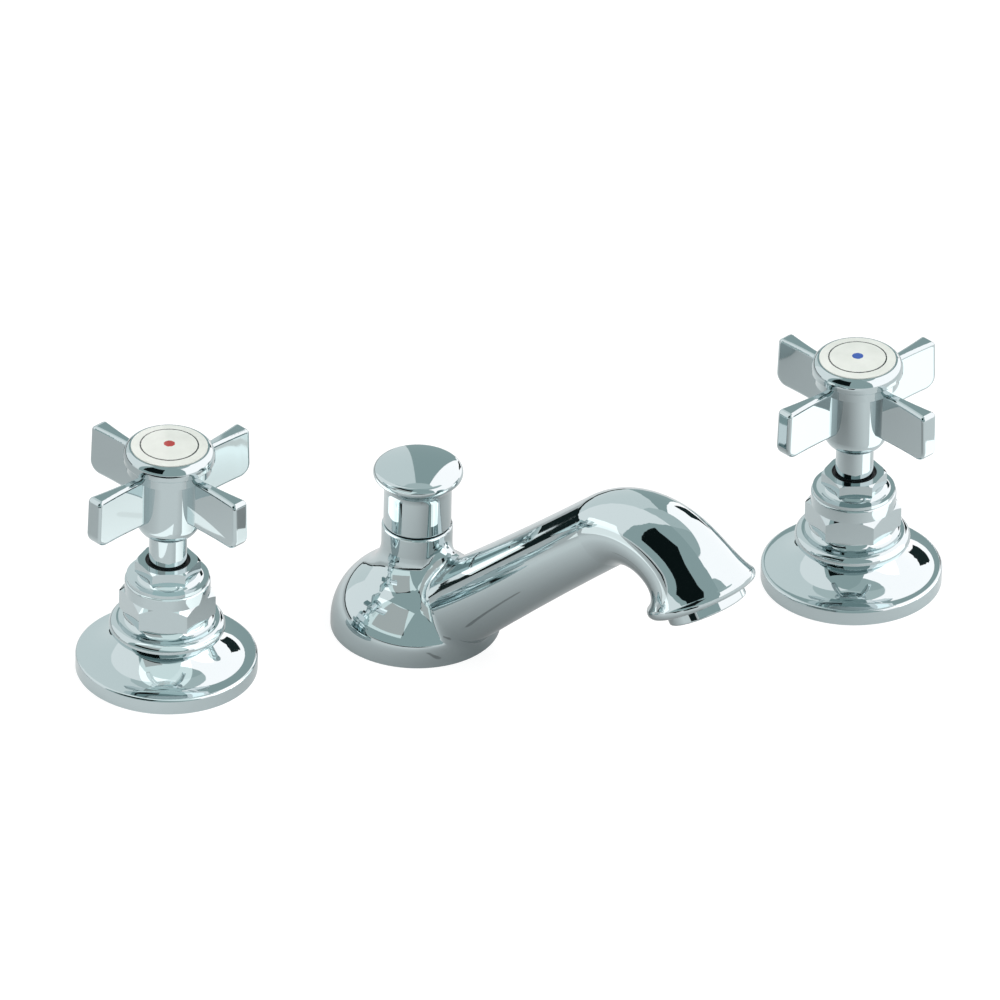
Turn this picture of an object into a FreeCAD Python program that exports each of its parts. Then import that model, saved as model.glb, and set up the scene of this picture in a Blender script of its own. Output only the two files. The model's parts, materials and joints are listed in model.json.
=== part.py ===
import FreeCAD, Part
import math
import os
from types import SimpleNamespace

import Sketcher

# A three-hole basin mixer: hot valve, spout with a pop-up waste knob, and cold valve, in one row on a deck.
# Frame: origin at the centre of the spout's base on the deck, +Z up, +X along the row from hot to cold.
# Lengths are in millimetres. A name ending in angle is in degrees, in share a fraction, in count a number.
SIZES = {
    # Places on the deck: the valves' axes, the way each piece faces, and how far its nuts turn past that.
    "hot_place_x": -79.84,
    "cold_place_x": 136.56,
    "valve_place_y": -5.67,
    "hot_face_angle": -15.55,
    "cold_face_angle": -15.55,
    "spout_face_angle": -54.35,
    "bonnet_turn_angle": -4.8,
    "gland_turn_angle": 3.4,
    # Clearances: seated pieces, shafts that turn or slide in a bore, pieces that move past each other.
    "seat_gap": 0.05,
    "run_gap": 0.08,
    "free_gap": 0.3,
    "cut_overrun": 1.0,
    # Clamping under the deck.
    "deck_thick": 20.0,
    "deck_washer_thick": 2.0,
    "clamp_washer_thick": 1.5,
    "washer_width": 7.5,
    "backnut_height": 8.0,
    "backnut_wall": 5.0,
    # Bell escutcheon and its gasket.
    "flange_r": 27.8,
    "rim_height": 5.0,
    "rim_round": 0.9,
    "rim_wall": 2.4,
    "bell_height": 12.6,
    "bell_neck_r": 13.9,
    "bell_neck_height": 1.2,
    "bell_wall": 1.8,
    "bell_curve_share": 0.95,
    "gasket_width": 3.0,
    "gasket_height": 1.8,
    # Round-edged clamp ring on the bell.
    "ring_r": 17.75,
    "ring_height": 4.8,
    "ring_top_round": 2.2,
    "ring_low_round": 1.7,
    # Bonnet: foot, large hexagon, round ring, and the spigot and nose inside the valve body.
    "foot_r": 14.9,
    "foot_height": 2.5,
    "foot_edge": 0.4,
    "bonnet_flats": 25.6,
    "bonnet_hex_height": 7.5,
    "bonnet_ring_r": 13.1,
    "bonnet_ring_height": 4.3,
    "bonnet_ring_round": 0.7,
    "spigot_length": 6.0,
    "nose_length": 13.0,
    "nose_wall": 1.3,
    "cavity_roof_depth": 4.4,
    "window_width": 5.0,
    "window_height": 2.4,
    "hex_chamfer_share": 0.6,
    "bonnet_chamfer_share": 0.9,
    # Gland nut: dished flange, small hexagon, threaded spigot, and the seal round the handle's sleeve.
    "gland_flange_r": 12.6,
    "gland_flange_height": 1.1,
    "gland_dish_r": 9.2,
    "gland_dish_height": 1.1,
    "gland_dish_edge": 0.8,
    "gland_flats": 17.4,
    "gland_hex_height": 4.2,
    "gland_crown_r": 9.1,
    "gland_spigot_r": 8.0,
    "gland_spigot_length": 4.2,
    "gland_mouth_r": 6.9,
    "gland_mouth_depth": 3.6,
    "gland_seal_height": 2.6,
    # Sleeve, spindle and its O-ring.
    "sleeve_r": 5.8,
    "sleeve_wall": 1.0,
    "neck_show": 10.1,
    "spindle_r": 4.5,
    "spindle_neck_r": 3.8,
    "drive_flats": 5.2,
    "tang_width": 2.4,
    "tang_length": 7.6,
    "tang_depth": 0.6,
    "spindle_lift": 0.4,
    "oring_depth": 1.1,
    "oring_drop": 1.6,
    # Ceramic discs and their seal.
    "disc_r": 5.7,
    "disc_height": 2.5,
    "fixed_disc_height": 2.1,
    "disc_film": 0.05,
    "disc_port_r": 1.6,
    "disc_port_place": 3.3,
    "disc_slot_depth": 0.8,
    "disc_seal_height": 3.2,
    "disc_seal_width": 1.3,
    "seal_proud": 2.4,
    # Cross handle: hub, step ring, four blades, and the bores in the hub.
    "hub_r": 9.85,
    "hub_foot_r": 6.6,
    "hub_foot_height": 5.0,
    "hub_height": 17.8,
    "step_r": 12.9,
    "step_height": 3.2,
    "step_round": 0.8,
    "blade_count": 4,
    "blade_tip_r": 32.1,
    "blade_root_thick": 3.0,
    "blade_tip_thick": 6.0,
    "blade_tip_low": 8.5,
    "blade_tip_high": 24.6,
    "blade_low_angle": 2.9,
    "blade_high_angle": 1.3,
    "blade_rake_angle": 2.0,
    "blade_low_round": 4.0,
    "blade_high_round": 1.6,
    "blade_edge_round": 1.1,
    "sleeve_seat_depth": 2.0,
    "drive_start": 3.0,
    "hub_floor": 14.9,
    "hub_recess_r": 6.6,
    "screw_r": 1.6,
    "screw_length": 9.0,
    "screw_head_r": 3.6,
    "screw_head_height": 2.4,
    "screw_socket_flats": 2.5,
    "screw_socket_depth": 1.4,
    # Index bezel and porcelain disc.
    "bezel_r": 14.0,
    "bezel_edge_height": 1.6,
    "bezel_edge_round": 0.5,
    "bezel_crown_r": 12.3,
    "bezel_height": 4.6,
    "bezel_floor": 2.6,
    "bezel_spigot_length": 5.5,
    "index_r": 11.7,
    "index_edge": 2.2,
    "index_dome": 0.8,
    # Valve body: threaded shank, chest with the side outlet, and the inlet tail.
    "body_thread_r": 12.0,
    "body_wall": 1.8,
    "body_top_gap": 0.4,
    "chest_r": 14.5,
    "chest_drop": 36.0,
    "chest_height": 22.0,
    "inlet_r": 10.48,
    "inlet_length": 16.0,
    "inlet_bore_r": 4.5,
    "outlet_angle": 90.0,
    "outlet_boss_r": 10.3,
    "outlet_boss_reach": 15.5,
    "outlet_r": 8.33,
    "outlet_reach": 31.0,
    "outlet_bore_r": 5.5,
    "outlet_bore_start": 6.5,
    "gallery_count": 4,
    "gallery_r": 1.3,
    "gallery_place": 8.75,
    "gallery_ring_height": 9.0,
    "gallery_ring_share": 1.5,
    # Spout: domed base and turret.
    "dome_r": 26.0,
    "dome_foot": 1.5,
    "dome_share": 0.62,
    "turret_r": 10.9,
    "turret_waist": 29.5,
    "turret_height": 36.3,
    "turret_round": 0.7,
    "dome_gasket_place": 19.5,
    # Spout: swan neck and nozzle, in the spout's own upright plane.
    "neck_foot_z": -1.4,
    "neck_angle": 41.8,
    "neck_start": 18.2,
    "neck_start_r": 13.4,
    "neck_length": 98.6,
    "neck_r": 11.4,
    "neck_blend_r": 4.0,
    "bend_r": 24.0,
    "bend_angle": 100.6,
    "bend_swell": 2.9,
    "nozzle_lip_r": 17.6,
    "nozzle_bead_r": 2.1,
    "nozzle_flare_angle": 41.0,
    "nozzle_mouth_r": 13.3,
    "nozzle_length": 3.8,
    # Waterway inside the spout.
    "water_r": 8.4,
    "water_start": 15.0,
    "chamber_top": 20.0,
    "socket_start": -4.6,
    "socket_r": 10.0,
    # Aerator.
    "aerator_r": 12.5,
    "aerator_show": 3.2,
    "aerator_round": 0.5,
    "aerator_bore_r": 8.5,
    "aerator_lip": 0.9,
    "aerator_washer_thick": 1.2,
    "aerator_washer_width": 2.2,
    "aerator_plate": 2.4,
    "aerator_wall": 1.1,
    "aerator_hole_r": 0.85,
    "aerator_outer_place": 5.6,
    "aerator_outer_count": 12,
    "aerator_inner_place": 3.0,
    "aerator_inner_count": 6,
    # Waste knob, lift rod, rod gland and guide tube.
    "knob_skirt_r": 10.37,
    "knob_skirt_round": 0.6,
    "knob_r": 13.76,
    "knob_rim_place": 17.9,
    "knob_rim_round": 2.0,
    "knob_under_angle": 60.0,
    "knob_slope_angle": 17.0,
    "knob_socket": 12.0,
    "rod_r": 3.0,
    "rod_drop": 124.0,
    "rod_tail_r": 2.5,
    "rod_tail_length": 30.0,
    "rod_gland_r": 6.0,
    "rod_gland_height": 5.7,
    "rod_oring_place": 2.9,
    "rod_oring_depth": 1.2,
    "guide_r": 4.5,
    "guide_bore_gap": 0.4,
    # Spout shank, inlet tee and its gland nut.
    "shank_r": 10.48,
    "shank_bore_r": 8.3,
    "shank_engage": 8.0,
    "shank_drop": 58.0,
    "tee_r": 14.0,
    "tee_socket": 12.0,
    "tee_height": 32.0,
    "tee_chamber_r": 9.0,
    "tee_floor": 5.0,
    "tee_angle": 90.0,
    "tee_port_drop": 20.0,
    "tee_boss_r": 10.3,
    "tee_boss_reach": 15.5,
    "tee_port_r": 8.33,
    "tee_port_reach": 30.0,
    "tee_port_bore_r": 5.5,
    "tee_nut_flats": 17.0,
    "tee_nut_height": 7.0,
    "guide_show": 2.0,
}
SQRT3 = math.sqrt(3)
HEX_SIDES = 6
DRIVE_SIDES = 4
# Shares of the bend at which its round sections stand, and the powers of the share that it widens with.
BEND_SHARES = (0.0, 0.15, 0.3, 0.45, 0.6, 0.7, 0.78, 0.84, 0.89, 0.93, 0.97, 1.0)
SWELL_POWER = 1.3
FLARE_POWER = 11.8


class Size:
    """A number together with the text that ties it to the sheet, so sums keep both."""

    def __init__(self, number, text):
        self.number = number
        self.text = text

    def __add__(self, other):
        other = size(other)
        return Size(self.number + other.number, f"({self.text} + {other.text})")

    def __sub__(self, other):
        other = size(other)
        return Size(self.number - other.number, f"({self.text} - {other.text})")

    def __mul__(self, other):
        other = size(other)
        return Size(self.number * other.number, f"({self.text} * {other.text})")

    def __truediv__(self, other):
        other = size(other)
        return Size(self.number / other.number, f"({self.text} / {other.text})")

    def __neg__(self):
        return Size(-self.number, f"(-1 * {self.text})")

    def __abs__(self):
        return Size(abs(self.number), f"abs({self.text})")


def size(value):
    if isinstance(value, Size):
        return value
    return Size(float(value), f"({float(value):.9f})")


def cos(angle):
    return Size(math.cos(math.radians(angle.number)), f"cos({angle.text} * 1 deg)")


def sin(angle):
    return Size(math.sin(math.radians(angle.number)), f"sin({angle.text} * 1 deg)")


doc = FreeCAD.newDocument("basin_mixer")
sheet = doc.addObject("Spreadsheet::Sheet", "dim")
for row, (alias, number) in enumerate(SIZES.items(), start=1):
    sheet.set(f"A{row}", alias)
    sheet.set(f"B{row}", str(number))
    sheet.setAlias(f"B{row}", alias)
doc.recompute()
d = SimpleNamespace(**{alias: Size(number, f"dim.{alias}") for alias, number in SIZES.items()})
ZERO = size(0)
subparts = []


def turned_place(x=ZERO, y=ZERO, z=ZERO, axis="0; 0; 1", angle=ZERO):
    return f"placement(vector({x.text}; {y.text}; {z.text}); rotation(vector({axis}); {angle.text}))"


def new_subpart(label, place):
    body = doc.addObject("PartDesign::Body", label)
    body.Label = label
    body.setExpression("Placement", place)
    subparts.append(body)
    return body


def new_sketch(body, name, plane="XZ_Plane", offset=None):
    sketch = body.newObject("Sketcher::SketchObject", f"{body.Label}_{name}_sketch")
    origin_plane = next(f for f in body.Origin.OriginFeatures if f.Role == plane)
    sketch.AttachmentSupport = [(origin_plane, "")]
    sketch.MapMode = "FlatFace"
    if offset:
        sketch.setExpression("AttachmentOffset", offset)
    return sketch


def arc_between(start, end, side, radius):
    chord = end - start
    rise = math.sqrt(max(radius**2 - chord.Length**2 / 4, 0.0))
    left = FreeCAD.Vector(-chord.y, chord.x, 0).normalize()
    centre = (start + end) * 0.5 + left * (rise if side == "left" else -rise)
    first, last = (start, end) if side == "left" else (end, start)
    angles = [math.atan2(p.y - centre.y, p.x - centre.x) for p in (first, last)]
    if angles[1] < angles[0]:
        angles[1] += 2 * math.pi
    circle = Part.Circle(centre, FreeCAD.Vector(0, 0, 1), radius)
    return Part.ArcOfCircle(circle, *angles)


def bind(sketch, rules):
    """Adds dimension constraints, each tied to its expression."""
    first = sketch.ConstraintCount
    sketch.addConstraint([rule for rule, _ in rules])
    for place, (_, length) in enumerate(rules, start=first):
        sketch.setExpression(f"Constraints[{place}]", length.text)


def outline(sketch, corners):
    """Closed loop through the corners; a corner with a side and a radius starts an arc to the next corner."""
    points = [FreeCAD.Vector(size(c[0]).number, size(c[1]).number, 0) for c in corners]
    base = sketch.GeometryCount
    ends, rules = [], []
    for k, corner in enumerate(corners):
        start, end = points[k], points[(k + 1) % len(points)]
        if len(corner) == 2:
            sketch.addGeometry(Part.LineSegment(start, end), False)
            ends.append((1, 2))
            continue
        side, radius = corner[2:]
        sketch.addGeometry(arc_between(start, end, side, radius.number), False)
        ends.append((1, 2) if side == "left" else (2, 1))
        rules.append((Sketcher.Constraint("Radius", base + k, radius.number), radius))
    joins = []
    for k in range(len(corners)):
        after = (k + 1) % len(corners)
        joins.append(Sketcher.Constraint("Coincident", base + k, ends[k][1], base + after, ends[after][0]))
    sketch.addConstraint(joins)
    for k, corner in enumerate(corners):
        for axis, length in zip("XY", corner[:2]):
            length = size(length)
            rule = Sketcher.Constraint(f"Distance{axis}", -1, 1, base + k, ends[k][0], length.number)
            rules.append((rule, length))
    bind(sketch, rules)


def circle(sketch, x, y, radius):
    x, y = size(x), size(y)
    centre = FreeCAD.Vector(x.number, y.number, 0)
    place = sketch.addGeometry(Part.Circle(centre, FreeCAD.Vector(0, 0, 1), radius.number), False)
    bind(
        sketch,
        [
            (Sketcher.Constraint("DistanceX", -1, 1, place, 3, x.number), x),
            (Sketcher.Constraint("DistanceY", -1, 1, place, 3, y.number), y),
            (Sketcher.Constraint("Radius", place, radius.number), radius),
        ],
    )


def polygon(sketch, flats, sides, corner_first=False):
    """Regular polygon with a flat towards -Y, or a corner."""
    corner_r = flats / (2 * math.cos(math.pi / sides))
    first = -math.pi / 2 - (0 if corner_first else math.pi / sides)
    steps = [first + 2 * math.pi * k / sides for k in range(sides)]
    outline(sketch, [(corner_r * math.cos(a), corner_r * math.sin(a)) for a in steps])


def feature(body, kind, name, sketch):
    made = body.newObject(f"PartDesign::{kind}", f"{body.Label}_{name}")
    made.Profile = sketch
    body.Tip = made
    return made


def turn(body, name, corners, kind="Revolution", offset=None):
    """Turns a profile of (radius, height) corners about the upright axis of its sketch."""
    sketch = new_sketch(body, name, offset=offset)
    outline(sketch, corners)
    made = feature(body, kind, name, sketch)
    made.ReferenceAxis = (sketch, ["V_Axis"])
    return made


def extrude(body, name, sketch, length, kind="Pad"):
    made = feature(body, kind, name, sketch)
    made.setExpression("Length", length.text)
    return made


def copies_round(body, name, originals, sketch, count):
    pattern = body.newObject("PartDesign::PolarPattern", f"{body.Label}_{name}")
    pattern.Originals = originals
    pattern.Axis = (sketch, ["N_Axis"])
    pattern.Angle = 360
    pattern.setExpression("Occurrences", count.text)
    body.Tip = pattern
    return pattern


def turned_subpart(label, place, corners):
    body = new_subpart(label, place)
    turn(body, "turned", corners)
    return body


def ring_corners(inner_r, outer_r, height, low=ZERO):
    return [(inner_r, low), (outer_r, low), (outer_r, low + height), (inner_r, low + height)]


def bore(body, name, radius, low, high):
    """Round hole on the axis between two heights."""
    turn(body, name, [(ZERO, low), (radius, low), (radius, high), (ZERO, high)], "Groove")


def hexagon(body, name, flats, low, height, crown_r, share):
    """Hexagon prism whose upper corners are turned down outside the crown radius."""
    sketch = new_sketch(body, f"{name}_flats", "XY_Plane", turned_place(z=low))
    polygon(sketch, flats, HEX_SIDES)
    extrude(body, f"{name}_flats", sketch, height)
    outside = flats / SQRT3 + d.cut_overrun
    top = low + height
    fall = (outside - crown_r) * share
    turn(body, f"{name}_crown", [(crown_r, top), (outside, top - fall), (outside, top)], "Groove")


def upright_swell(start, end):
    """Radius of the arc from start to end that is upright at one of them."""
    across, up = start[0] - end[0], start[1] - end[1]
    return (across * across + up * up) / (abs(across) * 2)


def level_swell(start, end):
    """Radius of the arc from start to end that is level at one of them."""
    across, up = start[0] - end[0], start[1] - end[1]
    return (across * across + up * up) / (abs(up) * 2)


# Heights of a valve's seats above the deck, from the bell up to the index.
seat_ring = d.bell_height
seat_bonnet = seat_ring + d.ring_height
seat_gland = seat_bonnet + d.foot_height + d.bonnet_hex_height + d.bonnet_ring_height
gland_top = d.gland_flange_height + d.gland_dish_height + d.gland_hex_height
seat_handle = seat_gland + gland_top + d.neck_show
hub_top = d.hub_foot_height + d.hub_height + d.step_height
seat_bezel = seat_handle + hub_top

# Heights inside a valve, from the land in the body up to the top of the rotating disc.
land = seat_bonnet - d.nose_length - d.seal_proud
fixed_disc_low = land + d.disc_seal_height
disc_low = fixed_disc_low + d.fixed_disc_height + d.disc_film
disc_top = disc_low + d.disc_height
cavity_r = d.disc_r + d.free_gap
spigot_r = d.body_thread_r - d.body_wall - d.seat_gap


def escutcheon(label, place):
    inner_r = d.flange_r - d.rim_wall
    bore_r = d.body_thread_r + d.seat_gap
    rim_top = (d.flange_r - d.rim_round, d.rim_height)
    neck = (d.bell_neck_r, d.bell_height - d.bell_neck_height)
    roof = (bore_r, d.bell_height - d.bell_neck_height - d.bell_wall)
    inner_rim = (inner_r, d.rim_height - d.bell_wall)
    span = rim_top[0] - neck[0] + neck[1] - rim_top[1]
    bell_r = span * d.bell_curve_share
    turned_subpart(
        label,
        place,
        [
            (inner_r, ZERO),
            (d.flange_r, ZERO),
            (d.flange_r, d.rim_height - d.rim_round, "left", d.rim_round),
            (*rim_top, "right", bell_r),
            neck,
            (d.bell_neck_r, d.bell_height),
            (bore_r, d.bell_height),
            (*roof, "left", bell_r + d.bell_wall),
            inner_rim,
        ],
    )


def clamp_ring(label, place):
    bore_r = d.body_thread_r + d.seat_gap
    waist = d.ring_height - d.ring_top_round
    low = (d.ring_r - d.ring_low_round, ZERO)
    middle = (d.ring_r, waist)
    turned_subpart(
        label,
        place,
        [
            (bore_r, ZERO),
            (*low, "left", upright_swell(low, middle)),
            (*middle, "left", d.ring_top_round),
            (d.ring_r - d.ring_top_round, d.ring_height),
            (bore_r, d.ring_height),
        ],
    )


def bonnet(label, place):
    body = new_subpart(label, place)
    nose_low = -d.nose_length
    core_r = d.bonnet_flats / 2 - d.seat_gap
    hex_top = d.foot_height + d.bonnet_hex_height
    top = hex_top + d.bonnet_ring_height
    foot_edge = (d.foot_r, d.foot_edge)
    foot_top = (core_r, d.foot_height)
    nose_r = cavity_r + d.nose_wall
    shaft_r = d.spindle_r + d.run_gap
    thread_r = d.gland_spigot_r + d.seat_gap
    thread_floor = top - d.gland_spigot_length - d.free_gap
    turn(
        body,
        "turned",
        [
            (cavity_r, nose_low),
            (nose_r, nose_low),
            (nose_r, -d.spigot_length),
            (spigot_r, -d.spigot_length),
            (spigot_r, ZERO),
            (d.foot_r, ZERO),
            (*foot_edge, "right", upright_swell(foot_edge, foot_top)),
            foot_top,
            (core_r, hex_top),
            (d.bonnet_ring_r, hex_top),
            (d.bonnet_ring_r, top - d.bonnet_ring_round, "left", d.bonnet_ring_round),
            (d.bonnet_ring_r - d.bonnet_ring_round, top),
            (thread_r, top),
            (thread_r, thread_floor),
            (shaft_r, thread_floor),
            (shaft_r, -d.cavity_roof_depth),
            (cavity_r, -d.cavity_roof_depth),
        ],
    )
    hex_sketch = new_sketch(body, "flats", "XY_Plane", turned_place(z=d.foot_height))
    polygon(hex_sketch, d.bonnet_flats, HEX_SIDES)
    circle(hex_sketch, ZERO, ZERO, core_r - d.body_wall)
    extrude(body, "flats", hex_sketch, d.bonnet_hex_height)
    outside = d.bonnet_flats / SQRT3 + d.cut_overrun
    fall = (outside - d.bonnet_ring_r) * d.bonnet_chamfer_share
    crown = [(d.bonnet_ring_r, hex_top), (outside, hex_top - fall), (outside, hex_top)]
    turn(body, "crown", crown, "Groove")
    window = new_sketch(body, "window", "YZ_Plane", turned_place(z=-nose_r - d.cut_overrun))
    half = d.window_width / 2
    roof = -d.cavity_roof_depth - d.free_gap
    sill = roof - d.window_height
    outline(window, [(-half, sill), (half, sill), (half, roof), (-half, roof)])
    cut = extrude(body, "windows", window, (nose_r + d.cut_overrun) * 2, "Pocket")
    cut.Reversed = True


def gland_nut(label, place):
    body = new_subpart(label, place)
    dish = d.gland_flange_height + d.gland_dish_height
    top = dish + d.gland_hex_height
    shaft_r = d.spindle_neck_r + d.free_gap
    edge = (d.gland_flange_r - d.gland_dish_edge, d.gland_flange_height)
    dish_foot = (d.gland_dish_r, dish)
    core_r = d.gland_flats / 2 - d.seat_gap
    turn(
        body,
        "turned",
        [
            (shaft_r, -d.gland_spigot_length),
            (d.gland_spigot_r, -d.gland_spigot_length),
            (d.gland_spigot_r, ZERO),
            (d.gland_flange_r, ZERO),
            (d.gland_flange_r, d.gland_flange_height - d.seat_gap),
            (*edge, "right", level_swell(edge, dish_foot)),
            dish_foot,
            (core_r, dish),
            (core_r, top - d.gland_mouth_depth),
            (shaft_r, top - d.gland_mouth_depth),
        ],
    )
    hexagon(body, "hex", d.gland_flats, dish, d.gland_hex_height, d.gland_crown_r, d.hex_chamfer_share)
    bore(body, "shaft_bore", shaft_r, -d.gland_spigot_length, top + d.cut_overrun)
    bore(body, "mouth", d.gland_mouth_r, top - d.gland_mouth_depth, top + d.cut_overrun)


def spindle(label, place):
    body = new_subpart(label, place)
    low = disc_top + d.spindle_lift
    shoulder = seat_gland - d.gland_spigot_length - d.free_gap * 2
    drive_low = seat_handle + d.drive_start - d.seat_gap
    top = seat_handle + d.hub_floor - d.cut_overrun
    groove_top = shoulder - d.oring_drop
    groove_low = groove_top - d.oring_depth - d.seat_gap * 2
    groove_r = d.spindle_r - d.oring_depth
    turn(
        body,
        "shaft",
        [
            (ZERO, low),
            (d.spindle_r, low),
            (d.spindle_r, groove_low),
            (groove_r, groove_low),
            (groove_r, groove_top),
            (d.spindle_r, groove_top),
            (d.spindle_r, shoulder),
            (d.spindle_neck_r, shoulder),
            (d.spindle_neck_r, drive_low),
            (ZERO, drive_low),
        ],
    )
    drive = new_sketch(body, "drive", "XY_Plane", turned_place(z=drive_low))
    polygon(drive, d.drive_flats, DRIVE_SIDES)
    extrude(body, "drive", drive, top - drive_low)
    tang = new_sketch(body, "tang", "XY_Plane", turned_place(z=disc_top - d.tang_depth))
    wide, long = d.tang_width / 2, d.tang_length / 2
    outline(tang, [(-wide, -long), (wide, -long), (wide, long), (-wide, long)])
    extrude(body, "tang", tang, d.tang_depth + d.spindle_lift)
    hole_low = top - d.screw_length
    bore(body, "screw_hole", d.screw_r + d.seat_gap, hole_low, top + d.cut_overrun)


def torus_subpart(label, place, middle_r, tube_r, height):
    """O-ring: a circle turned about the axis."""
    body = new_subpart(label, place)
    sketch = new_sketch(body, "section")
    circle(sketch, middle_r, height, tube_r)
    made = feature(body, "Revolution", "ring", sketch)
    made.ReferenceAxis = (sketch, ["V_Axis"])


def ported_disc(label, place, radius, height, ports_along, slot=False):
    """Ceramic disc with two ports on one line, and a slot for the spindle's tang across that line."""
    body = new_subpart(label, place)
    turn(body, "blank", [(ZERO, ZERO), (radius, ZERO), (radius, height), (ZERO, height)])
    ports = new_sketch(body, "ports", "XY_Plane", turned_place(z=height))
    for side in (-1, 1):
        reach = d.disc_port_place * side
        circle(ports, *((reach, ZERO) if ports_along == "x" else (ZERO, reach)), d.disc_port_r)
    extrude(body, "ports", ports, height, "Pocket")
    if slot:
        channel = new_sketch(body, "slot", "XY_Plane", turned_place(z=height))
        wide = d.tang_width / 2 + d.seat_gap
        long = d.tang_length / 2 + d.seat_gap
        outline(channel, [(-wide, -long), (wide, -long), (wide, long), (-wide, long)])
        extrude(body, "slot", channel, d.disc_slot_depth, "Pocket")


def round_corner(corner, back, ahead, interior_angle, radius):
    """Start and end of the arc that rounds a corner between two directions."""
    half = interior_angle / 2
    reach = radius * cos(half) / sin(half)
    start = tuple(c + b * reach for c, b in zip(corner, back))
    end = tuple(c + a * reach for c, a in zip(corner, ahead))
    return start, end


def blade_outline():
    """Side of one blade: rising lower edge, raked tip with both corners rounded, rising upper edge."""
    low, high, rake = d.blade_low_angle, d.blade_high_angle, d.blade_rake_angle
    up_tip = (-sin(rake), cos(rake))
    down_tip = (sin(rake), -cos(rake))
    low_home = (-cos(low), -sin(low))
    high_home = (-cos(high), -sin(high))
    foot = (d.blade_tip_r, d.blade_tip_low)
    rise = d.blade_tip_high - d.blade_tip_low
    head = (foot[0] - rise * sin(rake) / cos(rake), d.blade_tip_high)
    low_start, low_end = round_corner(foot, low_home, up_tip, low - rake + 90, d.blade_low_round)
    high_start, high_end = round_corner(head, down_tip, high_home, rake - high + 90, d.blade_high_round)
    return [
        (ZERO, foot[1] - foot[0] * sin(low) / cos(low)),
        (*low_start, "left", d.blade_low_round),
        low_end,
        (*high_start, "left", d.blade_high_round),
        high_end,
        (ZERO, head[1] - head[0] * sin(high) / cos(high)),
    ]


def cross_handle(label, place):
    body = new_subpart(label, place)
    root, tip = d.blade_root_thick / 2, d.blade_tip_thick / 2
    side = new_sketch(body, "blade", offset=turned_place(z=-tip))
    outline(side, blade_outline())
    extrude(body, "blade", side, d.blade_tip_thick)
    taper = new_sketch(body, "taper", "XY_Plane", turned_place(z=d.blade_tip_high + d.cut_overrun))
    outside = tip + d.cut_overrun
    for way in (-1, 1):
        near, far = (d.hub_r, root * way), (d.blade_tip_r, tip * way)
        flare = "left" if way > 0 else "right"
        outline(
            taper,
            [
                (ZERO, root * way),
                (*near, flare, level_swell(near, far)),
                far,
                (d.blade_tip_r, outside * way),
                (ZERO, outside * way),
            ],
        )
    shaved = extrude(body, "taper", taper, d.blade_tip_high + d.cut_overrun, "Pocket")
    doc.recompute()
    places = [edge.CenterOfMass.x for edge in shaved.Shape.Edges]
    clear_of_axis = [f"Edge{k}" for k, place in enumerate(places, 1) if place > d.hub_r.number]
    softened = body.newObject("PartDesign::Fillet", f"{label}_soft_edges")
    softened.Base = (shaved, clear_of_axis)
    softened.setExpression("Radius", d.blade_edge_round.text)
    body.Tip = softened
    blades = copies_round(body, "blades", [], taper, d.blade_count)
    blades.TransformMode = "Whole shape"
    hub_high = d.hub_foot_height + d.hub_height
    foot = (d.hub_foot_r, ZERO)
    shoulder = (d.hub_r, d.hub_foot_height)
    turn(
        body,
        "hub",
        [
            (ZERO, ZERO),
            (*foot, "left", upright_swell(foot, shoulder)),
            shoulder,
            (d.hub_r, hub_high - d.step_round, "right", d.step_round),
            (d.hub_r + d.step_round, hub_high),
            (d.step_r, hub_high),
            (d.step_r, hub_top),
            (ZERO, hub_top),
        ],
    )
    sleeve_bore_r = d.sleeve_r + d.seat_gap
    bore(body, "sleeve_seat", sleeve_bore_r, -d.cut_overrun, d.sleeve_seat_depth)
    bore(body, "neck_bore", d.spindle_neck_r + d.free_gap, ZERO, d.drive_start)
    bore(body, "recess", d.hub_recess_r, d.hub_floor, hub_top + d.cut_overrun)
    drive = new_sketch(body, "drive", "XY_Plane", turned_place(z=d.hub_floor))
    polygon(drive, d.drive_flats + d.seat_gap * 2, DRIVE_SIDES, corner_first=True)
    extrude(body, "drive", drive, d.hub_floor - d.drive_start, "Pocket")


def handle_screw(label, place):
    body = new_subpart(label, place)
    turn(
        body,
        "turned",
        [
            (ZERO, -d.screw_length),
            (d.screw_r, -d.screw_length),
            (d.screw_r, ZERO),
            (d.screw_head_r, ZERO),
            (d.screw_head_r, d.screw_head_height),
            (ZERO, d.screw_head_height),
        ],
    )
    socket = new_sketch(body, "socket", "XY_Plane", turned_place(z=d.screw_head_height))
    polygon(socket, d.screw_socket_flats, HEX_SIDES)
    extrude(body, "socket", socket, d.screw_socket_depth, "Pocket")


def index_bezel(label, place):
    spigot = d.hub_recess_r - d.seat_gap
    seat_r = d.index_r + d.seat_gap
    edge = (d.bezel_r, d.bezel_edge_height)
    crown = (d.bezel_crown_r, d.bezel_height)
    turned_subpart(
        label,
        place,
        [
            (ZERO, -d.bezel_spigot_length),
            (spigot, -d.bezel_spigot_length),
            (spigot, ZERO),
            (d.bezel_r - d.bezel_edge_round, ZERO, "left", d.bezel_edge_round),
            (d.bezel_r, d.bezel_edge_round),
            (*edge, "left", upright_swell(edge, crown)),
            crown,
            (seat_r, d.bezel_height),
            (seat_r, d.bezel_floor),
            (ZERO, d.bezel_floor),
        ],
    )


def index_disc(label, place):
    edge = (d.index_r, d.index_edge)
    crown = (ZERO, d.index_edge + d.index_dome)
    turned_subpart(
        label,
        place,
        [(ZERO, ZERO), (d.index_r, ZERO), (*edge, "left", level_swell(edge, crown)), crown],
    )


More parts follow.
